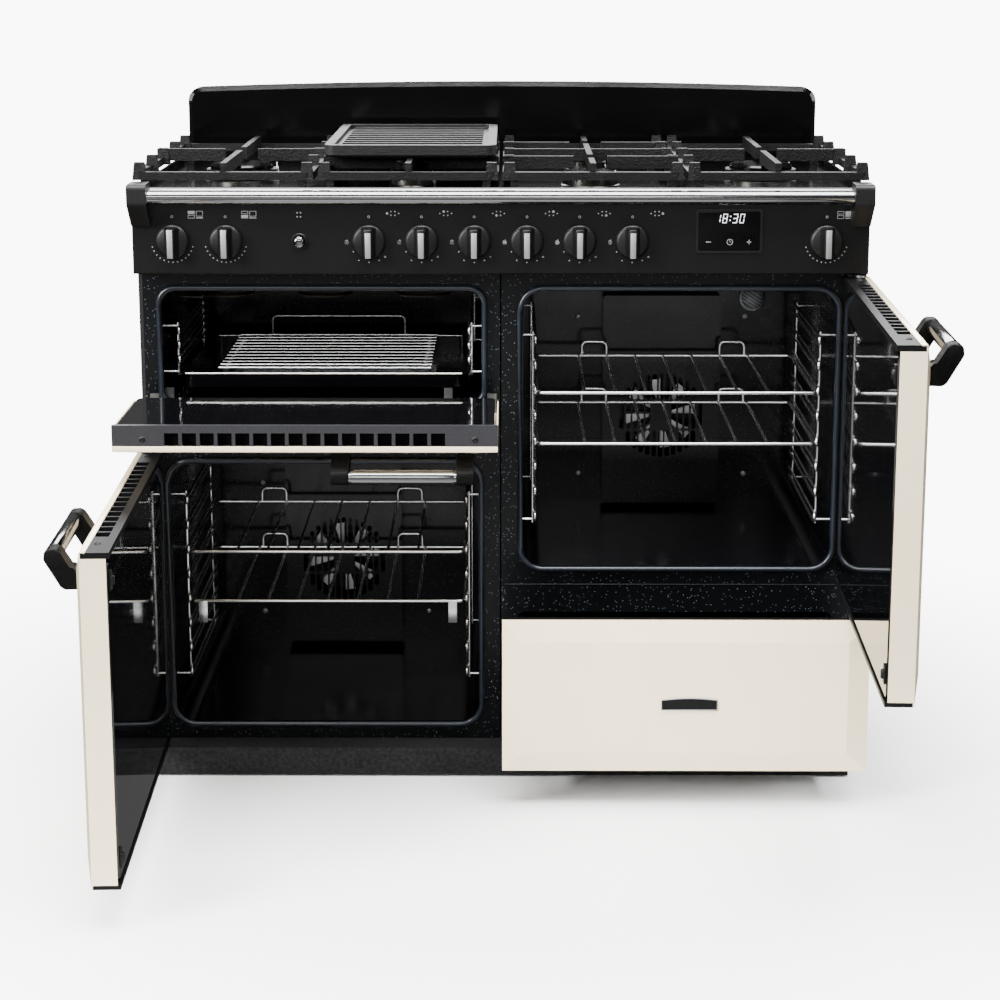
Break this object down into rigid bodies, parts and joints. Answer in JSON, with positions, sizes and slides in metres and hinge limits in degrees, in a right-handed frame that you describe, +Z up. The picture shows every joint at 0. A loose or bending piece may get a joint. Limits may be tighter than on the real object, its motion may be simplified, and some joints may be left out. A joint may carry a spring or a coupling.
{
  "type": "range cooker",
  "caption": "Wide freestanding dual-fuel range cooker with a gas hob, griddle, drop-down grill door, side-hinged oven doors, storage drawer and front handrail.",
  "frame": {"origin": "on the floor, in the middle of the width and of the depth with the doors open as pictured", "axes": "+X to the right as seen from the front, -Y out of the front, +Z up"},
  "size_m": [1.1814, 1.1342, 1.039],
  "materials": {
    "cream_enamel": "gloss vitreous enamel",
    "black_enamel": "gloss vitreous enamel with fine pale speckle",
    "satin_black": "satin powder coat",
    "textured_black": "fine textured powder coat",
    "galvanised": "zinc-plated sheet",
    "wire_chrome": "plated wire",
    "bright_chrome": "polished",
    "cast_iron": "matt enamelled casting",
    "bare_casting": "grey sand-cast plate",
    "burner_alloy": "cast alloy",
    "door_glass": "dark tempered pane with printed border",
    "seal_rubber": "woven and silicone door seal",
    "black_plastic": "satin moulded",
    "black_trim": "moulded vent trim",
    "brass_pipe": "drawn tube",
    "sheathed_element": "heat-stained sheath"
  },
  "bodies": {
    "carcass": {"casing": "textured_black", "base_tray": "galvanised", "plinth": "textured_black", "levelling_feet": "galvanised", "front_frames": "black_enamel", "grill_cavity": "black_enamel", "left_oven_cavity": "black_enamel", "right_oven_cavity": "black_enamel", "door_seals": "seal_rubber", "fan_baffles": "black_enamel", "fan_motors": "galvanised", "heating_elements": "sheathed_element", "shelf_ladders": "wire_chrome", "door_hinges": "galvanised", "hob_plate": "black_enamel", "splashback": "black_enamel", "control_panel": "satin_black", "handrail": "bright_chrome", "handrail_brackets": "black_plastic", "burner_bodies": "burner_alloy", "burner_caps": "cast_iron", "gas_manifold": "brass_pipe", "clock_module": "black_plastic"},
    "grill_door": {"grill_door_skin": "cream_enamel", "grill_door_glass": "door_glass", "grill_door_trims": "black_trim", "grill_door_handle": "bright_chrome"},
    "left_door": {"left_door_skin": "cream_enamel", "left_door_glass": "door_glass", "left_door_trims": "black_trim", "left_door_handle": "bright_chrome"},
    "right_door": {"right_door_skin": "cream_enamel", "right_door_glass": "door_glass", "right_door_trims": "black_trim", "right_door_handle": "bright_chrome"},
    "drawer": {"drawer_front": "cream_enamel", "drawer_box": "textured_black"},
    "grill_knob": {"grill_knob": "black_plastic"},
    "left_oven_knob": {"left_oven_knob": "black_plastic"},
    "gas_knob_1": {"gas_knob_1": "black_plastic"},
    "gas_knob_2": {"gas_knob_2": "black_plastic"},
    "gas_knob_3": {"gas_knob_3": "black_plastic"},
    "gas_knob_4": {"gas_knob_4": "black_plastic"},
    "gas_knob_5": {"gas_knob_5": "black_plastic"},
    "gas_knob_6": {"gas_knob_6": "black_plastic"},
    "right_oven_knob": {"right_oven_knob": "black_plastic"},
    "ignition_button": {"ignition_button": "bright_chrome"},
    "left_upper_shelf": {"left_upper_shelf": "wire_chrome"},
    "left_lower_shelf": {"left_lower_shelf": "wire_chrome"},
    "right_upper_shelf": {"right_upper_shelf": "wire_chrome"},
    "right_lower_shelf": {"right_lower_shelf": "wire_chrome"},
    "grill_pan": {"grill_pan": "black_enamel"},
    "grill_trivet": {"grill_trivet": "wire_chrome"},
    "griddle": {"griddle": "bare_casting"},
    "left_pan_support": {"left_pan_support": "cast_iron"},
    "middle_left_pan_support": {"middle_left_pan_support": "cast_iron"},
    "middle_right_pan_support": {"middle_right_pan_support": "cast_iron"},
    "right_pan_support": {"right_pan_support": "cast_iron"},
    "left_fan": {"left_fan": "galvanised"},
    "right_fan": {"right_fan": "galvanised"}
  },
  "joints": [
    {"name": "grill_door_drop", "type": "hinge", "parent": "carcass", "child": "grill_door", "pos_m": [0, -0.041, 0.575], "axis": [1, 0, 0], "range_deg": [-90, 0]},
    {"name": "left_door_swing", "type": "hinge", "parent": "carcass", "child": "left_door", "pos_m": [-0.536, -0.032, 0.3], "axis": [0, 0, -1], "range_deg": [-88, 10]},
    {"name": "right_door_swing", "type": "hinge", "parent": "carcass", "child": "right_door", "pos_m": [0.536, -0.032, 0.55], "axis": [0, 0, 1], "range_deg": [-88, 10]},
    {"name": "drawer_slide", "type": "slide", "parent": "carcass", "child": "drawer", "axis": [0, -1, 0], "range_m": [-0.115, 0.2]},
    {"name": "grill_knob_turn", "type": "hinge", "parent": "carcass", "child": "grill_knob", "pos_m": [-0.486, -0.0438, 0.839], "axis": [0, 1, 0], "range_deg": [0, 250]},
    {"name": "left_oven_knob_turn", "type": "hinge", "parent": "carcass", "child": "left_oven_knob", "pos_m": [-0.407, -0.0438, 0.839], "axis": [0, 1, 0], "range_deg": [0, 250]},
    {"name": "gas_knob_1_turn", "type": "hinge", "parent": "carcass", "child": "gas_knob_1", "pos_m": [-0.195, -0.0438, 0.839], "axis": [0, -1, 0], "range_deg": [0, 215]},
    {"name": "gas_knob_2_turn", "type": "hinge", "parent": "carcass", "child": "gas_knob_2", "pos_m": [-0.117, -0.0438, 0.839], "axis": [0, -1, 0], "range_deg": [0, 215]},
    {"name": "gas_knob_3_turn", "type": "hinge", "parent": "carcass", "child": "gas_knob_3", "pos_m": [-0.039, -0.0438, 0.839], "axis": [0, -1, 0], "range_deg": [0, 215]},
    {"name": "gas_knob_4_turn", "type": "hinge", "parent": "carcass", "child": "gas_knob_4", "pos_m": [0.039, -0.0438, 0.839], "axis": [0, -1, 0], "range_deg": [0, 215]},
    {"name": "gas_knob_5_turn", "type": "hinge", "parent": "carcass", "child": "gas_knob_5", "pos_m": [0.117, -0.0438, 0.839], "axis": [0, -1, 0], "range_deg": [0, 215]},
    {"name": "gas_knob_6_turn", "type": "hinge", "parent": "carcass", "child": "gas_knob_6", "pos_m": [0.195, -0.0438, 0.839], "axis": [0, -1, 0], "range_deg": [0, 215]},
    {"name": "right_oven_knob_turn", "type": "hinge", "parent": "carcass", "child": "right_oven_knob", "pos_m": [0.482, -0.0438, 0.839], "axis": [0, 1, 0], "range_deg": [0, 250]},
    {"name": "ignition_button_press", "type": "slide", "parent": "carcass", "child": "ignition_button", "axis": [0, 1, 0], "range_m": [0, 0.003], "stiffness_N_per_m": 400},
    {"name": "left_upper_shelf_slide", "type": "slide", "parent": "carcass", "child": "left_upper_shelf", "axis": [0, -1, 0], "range_m": [0, 0.3]},
    {"name": "left_lower_shelf_slide", "type": "slide", "parent": "carcass", "child": "left_lower_shelf", "axis": [0, -1, 0], "range_m": [0, 0.3]},
    {"name": "right_upper_shelf_slide", "type": "slide", "parent": "carcass", "child": "right_upper_shelf", "axis": [0, -1, 0], "range_m": [0, 0.3]},
    {"name": "right_lower_shelf_slide", "type": "slide", "parent": "carcass", "child": "right_lower_shelf", "axis": [0, -1, 0], "range_m": [0, 0.3]},
    {"name": "grill_pan_slide", "type": "slide", "parent": "carcass", "child": "grill_pan", "axis": [0, -1, 0], "range_m": [0, 0.22]},
    {"name": "grill_trivet_lift", "type": "slide", "parent": "grill_pan", "child": "grill_trivet", "axis": [0, 0, 1], "range_m": [0, 0.05]},
    {"name": "left_pan_support_lift", "type": "slide", "parent": "carcass", "child": "left_pan_support", "axis": [0, 0, 1], "range_m": [0, 0.15]},
    {"name": "middle_left_pan_support_lift", "type": "slide", "parent": "carcass", "child": "middle_left_pan_support", "axis": [0, 0, 1], "range_m": [0, 0.15]},
    {"name": "middle_right_pan_support_lift", "type": "slide", "parent": "carcass", "child": "middle_right_pan_support", "axis": [0, 0, 1], "range_m": [0, 0.15]},
    {"name": "right_pan_support_lift", "type": "slide", "parent": "carcass", "child": "right_pan_support", "axis": [0, 0, 1], "range_m": [0, 0.15]},
    {"name": "griddle_lift", "type": "slide", "parent": "middle_left_pan_support", "child": "griddle", "axis": [0, 0, 1], "range_m": [0, 0.12]},
    {"name": "left_fan_spin", "type": "hinge", "parent": "carcass", "child": "left_fan", "pos_m": [-0.27, 0.3827, 0.235], "axis": [0, 1, 0], "continuous": true},
    {"name": "right_fan_spin", "type": "hinge", "parent": "carcass", "child": "right_fan", "pos_m": [0.27, 0.3827, 0.488], "axis": [0, 1, 0], "continuous": true}
  ]
}
